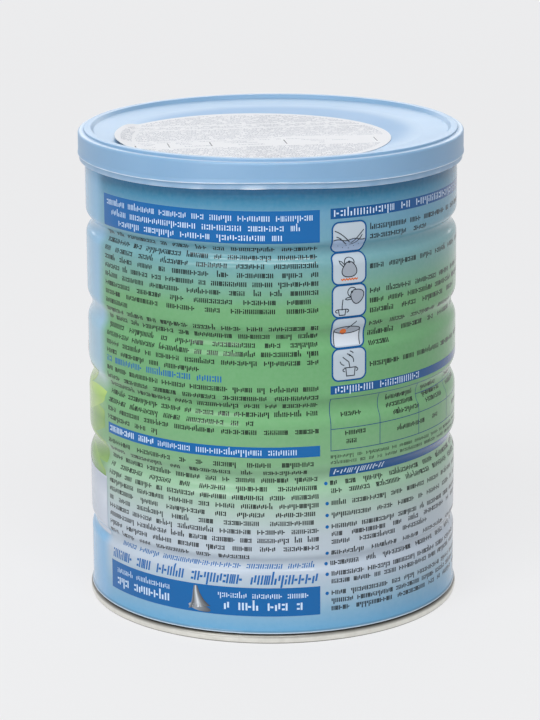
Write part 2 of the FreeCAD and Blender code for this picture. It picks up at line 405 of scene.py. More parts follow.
def plain_ink(name, red, green, blue, rough=VARNISHED):
    """One even colour of ink under varnish, a little uneven in its roughness."""
    material, tree = new_finish(f"{name}_ink")
    roughness = noise(tree, 5) * 0.08 + (rough - 0.04)
    colour = screen(red, green, blue)
    skin(tree, Base_Color=colour, Roughness=roughness, Normal=sheet_ripple(tree), **VARNISH)
    return material


def shaded_ink(name, dark, light):
    """Ink under varnish that runs from one colour at tint 0 to another at tint 1."""
    material, tree = new_finish(f"{name}_ink")
    colour = blend(screen(*dark), screen(*light), number_at_points(tree, "tint"))
    skin(tree, Base_Color=colour, Roughness=VARNISHED, Normal=sheet_ripple(tree), **VARNISH)
    return material


def ground_ramp(tree, s, stops):
    """A colour ramp up the sheet."""
    places = [(height / SHEET_HEIGHT, screen(*colour)) for height, *colour in stops]
    sockets = {"Fac": s / SHEET_HEIGHT}
    return add_node(tree, "ShaderNodeValToRGB", dict(stops=places), sockets)


def printed_tin():
    """The wall's print without its marks: the panel's ground, the front's glow, the bare weld, and painted
    shade in the grounds at the foot and under the overcap.
    """
    material, tree = new_finish("printed_tin")
    a, s, _ = parts_of(add_node(tree, "ShaderNodeUVMap", dict(uv_map="sheet")))
    a, s = a / MM, s / MM
    # Both ramps hold painted shade: a dark band in the crease above the seam, and darker stops under the
    # overcap's skirt.
    panel = ground_ramp(tree, s, PANEL_GROUND_AND_SHADE)
    front = ground_ramp(tree, s, FRONT_GROUND_AND_SHADE)
    aside = (a - FRONT_MIDDLE) / GLOW_HALF_WIDTH
    above = (s - GLOW_MIDDLE) / GLOW_HALF_HEIGHT
    glow = (aside * aside + above * above).step(1.0, 0.0)
    front = blend(front, screen(222, 236, 246), glow * 0.85)
    # The panel's ground fades into the front's past both of its sides.
    on_panel = a.step(PANEL_LEFT - 6.0, PANEL_LEFT + 2.5) * a.step(PANEL_RIGHT + 4.0, PANEL_RIGHT - 2.0)
    colour = blend(front, panel, on_panel)
    mottle = noise(tree, 1.4, detail=4.0)
    colour = blend(colour, screen(250, 250, 250), mottle * 0.05)
    # Unprinted metal at both ends of the sheet, and the dark line of the lap between them.
    bare = a.step(WELD - 1.7, WELD - 1.5) + a.step(WELD - GIRTH + 1.5, WELD - GIRTH + 1.3)
    lap = a.step(WELD - 0.55, WELD - 0.35)
    silver = blend(screen(196, 196, 192), screen(120, 116, 110), lap * 0.8)
    colour = blend(colour, silver, bare)
    roughness = noise(tree, 5) * 0.08 + 0.18
    skin(tree, Base_Color=colour, Metallic=bare * 0.9, Roughness=roughness,
         Normal=sheet_ripple(tree), **VARNISH)
    return material


def bare_tin():
    """Tinplate with fine lines from the seaming rolls, with painted shade on the seam's upper half under the
    wall and a painted contact shadow at the foot.
    """
    material, tree = new_finish("bare_tin")
    height = parts_of(add_node(tree, "ShaderNodeTexCoord", output="Object"))[2]
    lines = (height * (2 * math.pi / (ROLL_LINE * MM))).math("SINE")
    blotch = noise(tree, 2.5, detail=4.0)
    colour = blend(screen(208, 206, 197), screen(236, 234, 227), blotch)
    # The seam's upper half is painted dark: painted shade under the wall.
    seam_top_shade = height.step(1.6 * MM, 2.9 * MM)
    colour = blend(colour, screen(70, 68, 62), seam_top_shade * 0.94)
    # A painted contact shadow along the foot, which is also made rougher there.
    foot_shadow = height.step(0.6 * MM, 0.2 * MM)
    colour = blend(colour, screen(62, 60, 56), foot_shadow * 0.85)
    normal = relief(tree, lines * 0.5 + blotch, 0.006)
    skin(tree, Base_Color=colour, Metallic=0.75, Roughness=blotch * 0.2 + 0.24 + foot_shadow * 0.3, Normal=normal)
    return material


def overcap_plastic():
    """Satin polyethylene: fine grain, faint flow marks, a disc whose middle is rougher and painted a darker
    blue as shade, and painted highlights with pale flash where `edge` is set.
    """
    material, tree = new_finish("overcap_plastic")
    flow = noise(tree, 14, detail=3.0)
    x, y, _ = parts_of(add_node(tree, "ShaderNodeTexCoord", output="Object"))
    reach = (x * x + y * y).math("SQRT") / MM
    # The disc's middle: rougher, and painted a darker blue as shade for its weaker sheen.
    centre = reach.step(DISC_RADIUS - 0.5, DISC_RADIUS - 9.0)
    colour = blend(screen(118, 156, 190), screen(128, 164, 196), flow)
    colour = blend(colour, screen(104, 148, 190), centre * 0.7)
    # Painted highlights along the mould line, the lip and the ledge, and the lip's pale flash, where `edge`
    # is set.
    colour = blend(colour, screen(236, 242, 248), number_at_points(tree, "edge"))
    grain = relief(tree, noise(tree, 0.35), 0.004)
    roughness = flow * 0.1 + centre * 0.14 + 0.29
    skin(tree, Base_Color=colour, Roughness=roughness, Normal=grain, Subsurface_Weight=0.12,
         Subsurface_Radius=(0.3, 0.6, 1.0), Subsurface_Scale=0.002)
    return material


def label_paper():
    """Coated white paper with a trace of fibre."""
    material, tree = new_finish("label_paper")
    fibre = noise(tree, 0.5, detail=5.0)
    colour = blend(screen(215, 217, 220), screen(224, 225, 228), fibre)
    skin(tree, Base_Color=colour, Roughness=0.75, Specular_IOR_Level=0.25,
         Normal=relief(tree, fibre, 0.01))
    return material


# ------------------------------------------------------------------ tin, overcap, label
def ripple(waves, seed):
    """An uneven closed wave round the can: sines of whole frequencies with seeded phases."""
    phase = np.random.default_rng(seed).uniform(0, 2 * math.pi, len(waves))
    return sum(np.sin(wave * ANGLE + shift) for wave, shift in zip(waves, phase)) / math.sqrt(len(waves))


def flat_bell(value, middle, reach):
    """1 near the middle and 0 past the reach: the exponential of minus the distance's fourth power."""
    return np.exp(-(((value - middle) / reach) ** 4))


def make_wall():
    """The tin: the printed wall over its beads, flared into the bottom seam, and the top seam.

    Radius against height is WALL_RADIUS less wall_inset(), plus a flare that grows with the
    square of the way down from flare_top. The ends are closed by flat discs out of sight.
    """
    flare_foot, flare_top, flare = SEAM_HEIGHT + 0.25, SEAM_HEIGHT + 1.5, 0.45
    beads = [np.linspace(middle - half, middle + half, 33) for middle, _, half in BEADS]
    straight = np.arange(flare_top, CAN_TOP - SEAM_HEIGHT, 3.0)
    foot = np.linspace(flare_foot, flare_top, 8)
    height = np.sort(np.concatenate([foot, straight, *beads, [CAN_TOP - SEAM_HEIGHT]]))
    height = height[np.append(True, np.diff(height) > 0.05)]
    out = flare * (np.clip(flare_top - height, 0, None) / (flare_top - flare_foot)) ** 2
    wall = np.stack([WALL_RADIUS - wall_inset(height) + out, height], -1)
    floor = DISC_UNDER - DISC_GAP
    below = [(SEAM_INSIDE + SEAM_ROUND, END_TOP), (SEAM_INSIDE + SEAM_ROUND, flare_foot)]
    above = rounded([
        (WALL_RADIUS, CAN_TOP - SEAM_HEIGHT, 0),
        (SEAM_RADIUS, CAN_TOP - SEAM_HEIGHT + SEAM_ROUND, 0.3),
        (SEAM_RADIUS, CAN_TOP, SEAM_ROUND),
        (SEAM_INSIDE, CAN_TOP, SEAM_ROUND),
        (SEAM_INSIDE, floor, 0),
    ])[1:]
    profile = np.concatenate([below, wall, above])
    rings = turned(profile)
    piece = shell("printed_wall", rings, (0, 0, END_TOP), (0, 0, floor), printed_tin())
    lay_sheet_map(piece)
    return piece


def lay_sheet_map(piece):
    """The map named sheet: a and s in metres at every face corner, cut at the weld.

    Columns start at the front, so the angle past the weld belongs to the sheet's left end.
    """
    mesh = piece.data
    corner = np.zeros(len(mesh.loops), np.int32)
    mesh.loops.foreach_get("vertex_index", corner)
    points = np.zeros(len(mesh.vertices) * 3)
    mesh.vertices.foreach_get("co", points)
    points = points.reshape(-1, 3) / MM
    starts = np.zeros(len(mesh.polygons), np.int32)
    mesh.polygons.foreach_get("loop_start", starts)
    lengths = np.diff(np.append(starts, len(corner)))
    middle = np.add.reduceat(points[corner], starts) / lengths[:, None]
    face_angle = np.repeat(np.arctan2(middle[:, 0], -middle[:, 1]), lengths)
    angle = np.arctan2(points[corner, 0], -points[corner, 1])
    angle = face_angle + (angle - face_angle + math.pi) % (2 * math.pi) - math.pi
    face_past_weld = face_angle > WELD / WALL_RADIUS
    a = (angle - 2 * math.pi * face_past_weld) * WALL_RADIUS
    s = np.interp(points[corner, 2], CURVE_HEIGHT, CURVE_LENGTH)
    layer = mesh.uv_layers.new(name="sheet")
    layer.data.foreach_set("uv", (np.stack([a, s], -1) * MM).ravel())


def make_bottom_end():
    """The bottom end: panels, ring groove and the folded seam, a little uneven from closing.

    Only the humps of a ripple knock the seam's outer face in.
    """
    inner_panel, outer_panel, groove = 2.6, 3.4, 4.2
    slope, panel_edge, panel_step = 1.5, 42.0, 2.0
    groove_out = SEAM_INSIDE - slope
    groove_in = groove_out - 2.6
    profile = rounded([
        (0, inner_panel, 0),
        (panel_edge, inner_panel, 2.0),
        (panel_edge + panel_step, outer_panel, 2.0),
        (groove_in - slope, outer_panel, 0.8),
        (groove_in, groove, 0.8),
        (groove_out, groove, 0.8),
        (SEAM_INSIDE, outer_panel, 0.8),
        (SEAM_INSIDE, 0.0, SEAM_ROUND),
        (SEAM_RADIUS, 0.0, SEAM_ROUND),
        (SEAM_RADIUS, SEAM_HEIGHT, 1.0),
        (SEAM_INSIDE + SEAM_ROUND, SEAM_HEIGHT - 0.25, 0),
        (SEAM_INSIDE + SEAM_ROUND, END_TOP, 0),
        (0, END_TOP, 0),
    ])
    rings = turned(profile[1:-1])
    outer = np.clip((np.hypot(rings[..., 0], rings[..., 1]) - WALL_RADIUS) / SEAM_REACH, 0, 1)
    knock = 1 - 0.0012 * np.clip(ripple((7, 11, 16, 23, 41), 5), 0, None) * outer
    rings[..., :2] *= knock[..., None]
    return shell("bottom_seam", rings, (0, 0, inner_panel), (0, 0, END_TOP), bare_tin())


def overcap_profile():
    """The overcap's section: from the middle of its underside out, down, round the skirt and back."""
    plug = SEAM_INSIDE - LID_CLEARANCE
    return rounded([
        (0, DISC_UNDER, 0),
        (DISC_RADIUS, DISC_UNDER, 2.0),
        (plug - LID_WALL, DISC - 0.55, 0.3),
        (plug, CAN_TOP, 0),
        (LID_BORE, CAN_TOP, 0.2),
        (LID_BORE, CAN_TOP - 3.4, 0),
        (LID_BORE - 0.6, CAN_TOP - 4.2, 0.2),
        (LID_BORE, CAN_TOP - 5.0, 0),
        (LID_BORE, SKIRT_EDGE, 0),
        (LID_BORE - LID_CLEARANCE, LIP_EDGE, 0.15),
        (LID_FACE - 0.36, LIP_EDGE, 0.22),
        (LID_FACE - 0.3, SKIRT_EDGE - 0.1, 0.06),
        (LID_FACE - 0.1, SKIRT_EDGE - 0.06, 0),
        (LID_FACE + 0.2, SKIRT_EDGE, 0.08),
        (LID_FACE + 0.16, SKIRT_EDGE + 0.26, 0),
        (LID_FACE + 0.12, SKIRT_EDGE + 0.5, 0),
        (LID_FACE, SKIRT_EDGE + 1.4, 1.5),
        (LID_FACE, LEDGE, 0.9),
        (RING_OUT, LEDGE, 0.25),
        (RING_OUT, LID_TOP, 0.5),
        (RING_IN, LID_TOP, 0.5),
        (DISH_RADIUS, DISH_FOOT, 0.5),
        (DISC_RADIUS, DISC, 4.0),
        (0, DISC, 0),
    ])


def make_overcap():
    """The overcap: its section turned, with a skirt that bows up at the front and a ragged mould line.

    The bow is a bell curve of the angle from the front. It grows from none at the shoulder to
    all at the skirt's edge. A ripple roughens the mould line, and the lip carries flash in two
    flat-topped bells of the angle. The attribute `edge` marks where the plastic is painted paler:
    painted highlights along the mould line, the lip and the ledge, and the pale flash on the lip.
    """
    profile = overcap_profile()[1:-1]
    rings = turned(profile)
    radius, height = profile[:, :1], profile[:, 1:]
    front = (ANGLE + math.pi) % (2 * math.pi) - math.pi
    outside = radius > LID_BORE - 0.5
    shoulder = LEDGE - 0.9
    hang = np.clip((shoulder - height) / (shoulder - SKIRT_EDGE - 1.4), 0, 1) * outside
    bow = 0.9 * np.exp(-((front / math.radians(22)) ** 2)) + 0.12 * ripple((2, 3, 5), 8)
    ragged = ripple((19, 31, 47, 73), 3)
    flash = flat_bell(np.degrees(front), -5.2, 3.4) + 0.4 * flat_bell(np.degrees(front), -22, 2.2)
    on_line = radius > LID_FACE - 0.2
    mould_line = np.exp(-(((height - SKIRT_EDGE) / 0.3) ** 2)) * on_line
    lip = np.exp(-(((height - LIP_EDGE) / 0.3) ** 2)) * outside
    rings[..., 2] += hang * bow + 0.04 * mould_line * ragged - 0.1 * lip * flash
    spread = 1 + (0.03 * mould_line * ragged + 0.12 * lip * flash) / LID_FACE
    rings[..., :2] *= spread[..., None]
    # Where the plastic is painted paler: painted highlights on the mould line, the lip and the ledge, and the
    # pale flash at the lip's front.
    edge = (flat_bell(height, SKIRT_EDGE, 0.22) * on_line * (0.8 + 0.15 * ragged)
            + flat_bell(height, LIP_EDGE, 0.22) * outside * (0.3 + 0.12 * ragged + 0.8 * flash)
            + flat_bell(height, LEDGE, 0.16) * (radius > RING_OUT + 0.3) * 0.3)
    piece = shell("overcap", rings, (0, 0, DISC_UNDER), (0, 0, DISC), overcap_plastic(), sharp=50)
    give_numbers(piece, "edge", np.append(np.clip(edge, 0, 1), [0, 0]))
    return piece


def label_top(x, y):
    """Height of the label's face: over the dish, and lifted along a straight fold at the left.

    With d as the distance past the fold, eased by a square root, the lift is
    h tanh(d / 3.2): it springs up at once and then runs nearly level. h falls from 1.8
    to 1.0 towards the front.
    """
    dish = np.interp(np.hypot(x, y), (0, DISC_RADIUS, DISH_RADIUS, RING_IN),
                     (DISC, DISC, DISH_FOOT, DISH_FOOT + 0.6))
    past = LABEL_FOLD - x
    eased = (past + np.sqrt(past**2 + 0.5)) / 2
    springy = np.interp(y, (-30, 0), (1.0, 1.8))
    return dish + LABEL_THICKNESS + springy * np.tanh(eased / 3.2)


def on_lid(p, q):
    """Label places p (along its lines) and q (up the page) as x and y on the overcap.

    They turn by LABEL_TURN about the label's middle. Past the fold the paper's run over the
    lid is shorter by the fold's cosine, and past LABEL_HELD a hyperbolic tangent eases the
    reach to 3 mm more at most.
    """
    cosine, sine = math.cos(LABEL_TURN), math.sin(LABEL_TURN)
    x = LABEL_MIDDLE[0] + p * cosine - q * sine
    y = LABEL_MIDDLE[1] + p * sine + q * cosine
    x = x + 0.08 * np.clip(LABEL_FOLD - x, 0, None)
    reach = np.hypot(x, y)
    held = np.where(reach > LABEL_HELD, LABEL_HELD + 3 * np.tanh((reach - LABEL_HELD) / 3), reach)
    return x * held / np.maximum(reach, 1), y * held / np.maximum(reach, 1)


def lay(flat, lift):
    """Points and normals on the label's face; the slope comes from the height 0.1 mm away."""
    x, y = on_lid(flat[:, 0], flat[:, 1])
    height = label_top(x, y)
    slope_x = (label_top(x + 0.1, y) - height) / 0.1
    slope_y = (label_top(x, y + 0.1) - height) / 0.1
    normals = np.stack([-slope_x, -slope_y, np.ones_like(x)], -1)
    normals /= np.linalg.norm(normals, axis=1)[:, None]
    return np.stack([x, y, height], -1) + normals * lift, normals


def make_label():
    """The paper label: rings out along its underside and back along its face."""
    count = 24
    reach = np.linspace(2, LABEL_RADIUS, count)
    reach = np.append(reach, reach[::-1])[:, None]
    x, y = on_lid(reach * np.sin(ANGLE), -reach * np.cos(ANGLE))
    face = np.repeat([0, 1], count)[:, None]
    height = label_top(x, y) - LABEL_THICKNESS * (1 - face) + 0.02 * ripple((2, 3, 7), 21) * face
    rings = np.stack([x, y, height], -1)
    ends = [(*LABEL_MIDDLE, DISC), (*LABEL_MIDDLE, DISC + LABEL_THICKNESS)]
    return shell("paper_label", rings, *ends, label_paper())


# ------------------------------------------------------------------ print: flat patches
# Patches are arrays of four-sided shapes on the flat sheet: (count, 4 corners, a and s),
# with a third number, tint, where the ink's colour runs.
def boxes(left, low, right, high):
    """Upright patches from arrays of their sides."""
    left, low, right, high = np.broadcast_arrays(left, low, right, high)
    corners = [(left, low), (right, low), (right, high), (left, high)]
    return np.stack([np.stack(np.atleast_1d(*corner), -1) for corner in corners], 1).astype(float)


def strip(points, width, closed=False):
    """A line of even width along points: patches between its mitred sides."""
    points = np.asarray(points, float)
    if closed:
        points = np.vstack([points, points[:1]])
    along = np.diff(points, axis=0)
    along /= np.linalg.norm(along, axis=1)[:, None]
    first, last = (along[-1:], along[:1]) if closed else (along[:1], along[-1:])
    before, after = np.vstack([first, along]), np.vstack([along, last])
    across = np.stack([-(before + after)[:, 1], (before + after)[:, 0]], -1)
    across *= (width / 2 / np.maximum(1 + (before * after).sum(1), 0.5))[:, None]
    left, right = points + across, points - across
    return np.stack([right[:-1], right[1:], left[1:], left[:-1]], 1)


def between(first, second):
    """Patches that fill the space between two edges with as many points."""
    return np.stack([first[:-1], second[:-1], second[1:], first[1:]], 1)


def outline(edges, width):
    """A closed line round a shape given by its left and right edges."""
    left, right = edges
    return strip(np.vstack([right, left[::-1]]), width, closed=True)


def round_box(left, low, right, high, radius):
    """Left and right edges of an upright box with rounded corners."""
    turn = np.linspace(-math.pi / 2, math.pi / 2, 18)
    middle, half_height = (low + high) / 2, (high - low) / 2 - radius
    height = middle + half_height * np.sign(turn) + radius * np.sin(turn)
    reach = (right - left) / 2 - radius + radius * np.cos(turn)
    centre = (left + right) / 2
    return np.stack([centre - reach, height], -1), np.stack([centre + reach, height], -1)


def oval(centre, middle, wide, high, count=14):
    """Left and right edges of an oval."""
    turn = np.linspace(-math.pi / 2, math.pi / 2, count)
    height = middle + high * np.sin(turn)
    reach = wide * np.maximum(np.cos(turn), 0.02)
    return np.stack([centre - reach, height], -1), np.stack([centre + reach, height], -1)


def arc(centre, middle, wide, high, start, stop, count=14):
    """Points along part of an oval, from one angle in degrees to another."""
    turn = np.radians(np.linspace(start, stop, count))
    return np.stack([centre + wide * np.cos(turn), middle + high * np.sin(turn)], -1)


def tilted(points, pivot, degrees):
    """Points turned about a pivot on the sheet."""
    turn = math.radians(degrees)
    spin = np.array([[math.cos(turn), math.sin(turn)], [-math.sin(turn), math.cos(turn)]])
    return (np.asarray(points) - pivot) @ spin + pivot


def tinted(points, tint):
    """Points with their tint as a third number."""
    return np.column_stack([points, np.broadcast_to(tint, len(points))])


LARGEST_PATCH = (1.4, 0.65)  # across and up, small enough to follow the beads


def divided(patches):
    """Patches split by straight interpolation until none is larger than LARGEST_PATCH."""
    one, two, three, four = (patches[:, k, :2] / LARGEST_PATCH for k in range(4))
    across = np.maximum(np.abs(two - one), np.abs(three - four)).max(1)
    up = np.maximum(np.abs(four - one), np.abs(three - two)).max(1)
    counts = np.ceil(np.maximum(np.stack([across, up], -1), 0.01)).astype(int)
    cells = []
    for across, up in np.unique(counts, axis=0):
        these = patches[(counts == (across, up)).all(1)]
        u = np.linspace(0, 1, across + 1)[None, None, :, None]
        v = np.linspace(0, 1, up + 1)[None, :, None, None]
        one, two, three, four = (these[:, k, None, None] for k in range(4))
        grid = (one * (1 - u) + two * u) * (1 - v) + (four * (1 - u) + three * u) * v
        sides = [grid[:, :-1, :-1], grid[:, :-1, 1:], grid[:, 1:, 1:], grid[:, 1:, :-1]]
        cells.append(np.stack(sides, 3).reshape(-1, 4, patches.shape[-1]))
    return np.concatenate(cells)


def ink(name, patches, finish, lift, place=bend):
    """Print as a piece: patches put on the wall or the label, `lift` proud, as triangles."""
    patches = divided(np.concatenate(patches) if isinstance(patches, list) else patches)
    flat, corners = np.unique(
        np.round(patches.reshape(-1, patches.shape[-1]), 3), axis=0, return_inverse=True)
    corners = corners.reshape(-1, 4)
    triangles = np.concatenate([corners[:, [0, 1, 2]], corners[:, [0, 2, 3]]])
    one, two, three = (flat[triangles[:, k], :2] for k in range(3))
    area = (two - one)[:, 0] * (three - one)[:, 1] - (two - one)[:, 1] * (three - one)[:, 0]
    triangles[area < 0] = triangles[area < 0][:, ::-1]
    triangles = triangles[np.abs(area) > 1e-5]
    points, normals = place(flat, lift)
    piece = put_mesh(name, points, [triangles], finish, normals=normals)
    if flat.shape[1] == 3:
        give_numbers(piece, "tint", flat[:, 2])
    return piece


# ------------------------------------------------------------------ print: greeked lines
# Where the tin carries small print there are only rows of marks: uprights, dashes and
# dots in word-long runs. Each mark is a few boxes (x0, y0, x1, y1), in widths of a mark
# and heights of a line.
MARKS = (
    ((0.06, 0, 0.28, 1), (0.56, 0, 0.78, 1)),
    ((0.03, 0, 0.21, 1), (0.33, 0, 0.51, 1), (0.63, 0, 0.81, 1)),
    ((0.06, 0, 0.28, 1), (0.42, 0.36, 0.80, 0.60)),
    ((0.06, 0, 0.28, 0.58), (0.06, 0.78, 0.28, 1), (0.56, 0, 0.78, 1)),
    ((0.04, 0.06, 0.40, 0.30), (0.04, 0.68, 0.40, 0.92), (0.56, 0, 0.78, 1)),
    ((0.08, 0, 0.31, 0.78), (0.54, 0.22, 0.77, 1)),
    ((0.06, 0, 0.28, 1.38), (0.54, 0, 0.78, 0.66)),
    ((0.06, 0.40, 0.28, 1), (0.54, -0.34, 0.78, 1)),
)
MARK_BOXES = np.array([mark + ((0, 0, 0, 0),) * (3 - len(mark)) for mark in MARKS])
MARK_ODDS = np.array([6, 3, 5, 3, 4, 4, 1, 1]) / 27
WORD_GAP, WIDEST_GAP = 1.1, 2.6  # in widths of a mark
dice = np.random.default_rng(27)


def line_of_marks(left, right, base, size, pitch=None, bold=0.0, slant=0.0, length=1.0, words=None):
    """Patches of one greeked line.

    Word lengths are drawn until marks `pitch` wide fill `length` of the line, and the gaps
    share what is left over. Or the words are given, and the pitch is what makes them and
    gaps of WORD_GAP marks fill the line. `size` is the marks' height, `bold` what each gains
    at both sides, `slant` the lean in degrees.
    """
    width = (right - left) * length
    if words is None:
        words = dice.integers(2, 12, size=int(width / pitch) + 2)
        words = words[:max(1, np.searchsorted(np.cumsum(words + 1), width / pitch + 1))]
    else:
        pitch = width / (sum(words) + WORD_GAP * (len(words) - 1))
    words = np.array(words)
    gap = min((width / pitch - words.sum()) / max(len(words) - 1, 1), WIDEST_GAP)
    starts = np.append(0, np.cumsum(words + gap)[:-1])
    within = np.arange(words.sum()) - np.repeat(np.append(0, np.cumsum(words)[:-1]), words)
    x = np.repeat(starts, words) + within
    mark = MARK_BOXES[dice.choice(len(MARKS), size=len(x), p=MARK_ODDS)]
    shown = mark[..., 2] > 0
    x0 = (left + (x[:, None] + mark[..., 0]) * pitch - bold)[shown]
    x1 = (left + (x[:, None] + mark[..., 2]) * pitch + bold)[shown]
    patches = boxes(x0, base + mark[..., 1][shown] * size, x1, base + mark[..., 3][shown] * size)
    patches[..., 0] += (patches[..., 1] - base) * math.tan(math.radians(slant))
    return patches


def centred_marks(middle, wide, base, **style):
    """A greeked line of a given width about its middle."""
    return line_of_marks(middle - wide / 2, middle + wide / 2, base, **style)


def left_bars():
    """The blue bars and panels of the left column."""
    left, right = LEFT_COLUMN
    return [
        boxes(left, 139.6, right, 150.35),
        boxes(left, 65.55, right, 69.25),
        boxes(left + 0.6, 9.45, right, 19.4),
    ]


def right_bars():
    """The deeper blue title bars of the right column."""
    start, stop = RIGHT_COLUMN
    return [boxes(start, foot, stop, head) for foot, head in ((147.0, 150.5), (86.8, 89.7), (57.5, 61.25))]


def white_print():
    """White marks on the blue bars and in the bottom panel."""
    left, right = LEFT_COLUMN
    middle = (left + right) / 2
    start = RIGHT_COLUMN[0]
    heading = dict(size=1.75, bold=-0.02)
    subhead = dict(size=2.0, bold=0.04)
    title = dict(size=2.15, bold=-0.05)
    small = dict(size=1.6, bold=-0.01)
    large = dict(size=2.6, bold=0.05)
    lines = [  # left end, right end, foot, words, style
        (middle - 39.5, middle + 39.5, 147.0, (7, 8, 7, 3, 5, 7, 8), heading),
        (middle - 36.6, middle + 35.4, 143.75, (5, 16, 8, 7, 2), heading),
        (middle - 32.4, middle + 29.6, 140.6, (6, 7, 6, 9, 2), heading),
        (left + 1.2, left + 25, 66.45, (8, 4), subhead),
        (left + 26.5, right - 7.5, 66.45, (8, 14, 6), heading),
        (start + 1, start + 67, 147.75, (10, 2, 14), title),
        (start + 1.4, start + 37, 87.2, (7, 9), title),
        (start + 1.2, start + 21, 58.3, (8,), dict(slant=10, **title)),
        (left + 4.4, left + 30.8, 15.7, (6, 10), small),
        (left + 4.4, left + 30.8, 11.5, (3, 7), large),
        (left + 48.6, left + 79.4, 15.7, (7, 7, 5), small),
        (left + 50.6, left + 77.6, 11.5, (1, 3, 3, 1), large),
    ]
    return [line_of_marks(*place, words=words, **style) for *place, words, style in lines]


TEXT = dict(size=1.54, pitch=1.34, bold=0.045)


def left_print():
    """The left column's small print: 22 even lines with three short ones, then 12 more."""
    left, right = LEFT_COLUMN
    bases = [136.3 - 2.99 * row for row in range(23) if row != 15]
    bases += [62.3 - 2.955 * row for row in range(12)]
    short = {8: 0.24, 14: 0.52, 19: 0.74, 21: 0.32, 33: 0.72}
    return [line_of_marks(left, right - 0.3, base, length=short.get(row, 1.0), **TEXT)
            for row, base in enumerate(bases)]


def right_print():
    """The right column's small print: beside the pictograms, in the table, then bulleted."""
    start, stop = RIGHT_COLUMN
    beside = start + 14.2
    steps = dict(size=1.62, pitch=1.4, bold=0.045)
    lines = [  # foot, share of the width
        (142.4, 1.0), (139.3, 0.45), (128.4, 1.0), (120.2, 1.0), (116.9, 1.0), (113.6, 0.8),
        (109.1, 0.9), (105.4, 1.0), (102.0, 0.22), (94.9, 1.0),
    ]
    marks = [line_of_marks(beside, stop, base, length=length, **steps) for base, length in lines]
    cells = [  # column's middle, width, foot
        (9.0, 10.0, 78.4), (9.4, 8.6, 72.0), (9.4, 7.6, 69.1),
        (27.4, 11.5, 81.7), (27.4, 11.0, 79.0), (27.4, 6.2, 76.2), (27.4, 3.0, 70.4),
        (46.8, 15.0, 81.9), (46.8, 13.5, 79.4), (46.8, 10.5, 76.9), (46.8, 3.4, 70.4),
        (66.0, 15.0, 82.0), (66.0, 12.0, 78.6), (66.0, 3.4, 70.4),
    ]
    marks += [centred_marks(start + middle, wide, base, size=1.5, pitch=1.3, bold=0.05)
              for middle, wide, base in cells]
    small = dict(size=1.05, pitch=1.05)
    marks += [line_of_marks(start, stop, base, **small) for base in (64.5, 62.5)]
    notes = [
        (54.6, 1.0), (51.9, 1.0), (47.8, 0.85), (43.7, 1.0), (39.7, 1.0), (37.0, 1.0), (34.3, 0.62),
        (30.5, 1.0), (26.2, 1.0), (22.6, 1.0), (19.9, 1.0), (15.9, 1.0), (13.1, 1.0), (10.4, 0.9),
    ]
    marks += [line_of_marks(start + 0.3, stop, base, length=length, **TEXT) for base, length in notes]
    return marks


def blue_print():
    """Blue lines of the left column, and the bullets of the right one."""
    left, right = LEFT_COLUMN
    middle = (left + right) / 2
    marks = [
        line_of_marks(left, left + 51, 91.4, size=2.05, bold=0.03, words=(2, 8, 10, 5)),
        centred_marks(middle + 2.5, 75, 26.1, size=1.6, bold=0.02, slant=12, words=(5, 6, 19, 8, 6)),
        line_of_marks(left + 1.6, right - 0.8, 20.6, size=3.3, bold=0.07, slant=10, words=(5, 3, 5, 8, 10)),
    ]
    bullets = (54.6, 47.8, 43.7, 39.7, 30.5, 26.2, 22.6, 15.9)
    marks += [between(*oval(RIGHT_COLUMN[0] - 1.2, base + 0.7, 0.62, 0.62)) for base in bullets]
    return marks


def table_lines():
    """Thin rules of the table: its frame, a row split and a split in its later columns."""
    start, stop = RIGHT_COLUMN
    low, split, later_split, high = 66.95, 74.3, 80.7, 85.0
    rule = 0.24
    uprights = start + np.array([0.0, 18.3, 36.6, 57.2])
    levels = [(start, low), (start, split), (start, high), (uprights[2], later_split)]
    rules = [boxes(uprights, low, uprights + rule, high)]
    rules += [boxes(first, level, stop, level + rule) for first, level in levels]
    rules += [boxes(stop, low, stop + rule, high + rule)]
    return rules


# ------------------------------------------------------------------ print: pictograms
# Five steps in rounded frames, each drawn about its own middle in a square of 12 by 11.
# A step's function gives pairs: the part that its patches belong to, and the patches.
PICTOGRAM_PITCH = 10.96
PICTOGRAM_PARTS = {  # ink, how proud
    "grounds": ("icon_ground", 0.02),
    "water": ("icon_water", 0.035),
    "whites": ("icon_tin", 0.03),
    "greys": ("icon_grey", 0.04),
    "oranges": ("icon_orange", 0.05),
    "lines": ("icon_line", 0.06),
    "frames": ("deep_bar", 0.065),
}


def curve(*points, count=24):
    """A smooth line near a few points: a Bezier curve, by its sums of binomials."""
    u = np.linspace(0, 1, count)[:, None]
    last = len(points) - 1
    return sum(math.comb(last, k) * u**k * (1 - u) ** (last - k) * np.array(point, float)
               for k, point in enumerate(points))


def stroked(*paths):
    """Paths as lines of even width."""
    return [("lines", strip(path, 0.32)) for path in paths]


def kettle(pivot=(0, 0), degrees=0, size=1.0, place=(0, 0)):
    """A round kettle, tilted about the pivot, then sized and placed: body, knob, then its lines."""
    def put(points):
        return tilted(points, pivot, degrees) * size + place

    right = curve((0.9, 1.9), (2.2, 0.8), (3.3, -1.0), (3.2, -2.9), (0.0, -3.0))
    left = right * (-1, 1)
    knob = oval(0, 2.0, 0.5, 0.4)
    round_it = np.vstack([right, left[-2::-1], right[:1]])
    handle = arc(0, 1.9, 1.7, 1.7, -20, 200)
    spout = np.array([(-2.2, 0.6), (-3.3, 1.7), (-3.5, 2.5), (-2.7, 2.2), (-1.8, 1.2)])
    return [
        ("greys", between(put(left), put(right))),
        ("lines", between(*map(put, knob))),
        *stroked(*map(put, (round_it, handle, spout))),
    ]


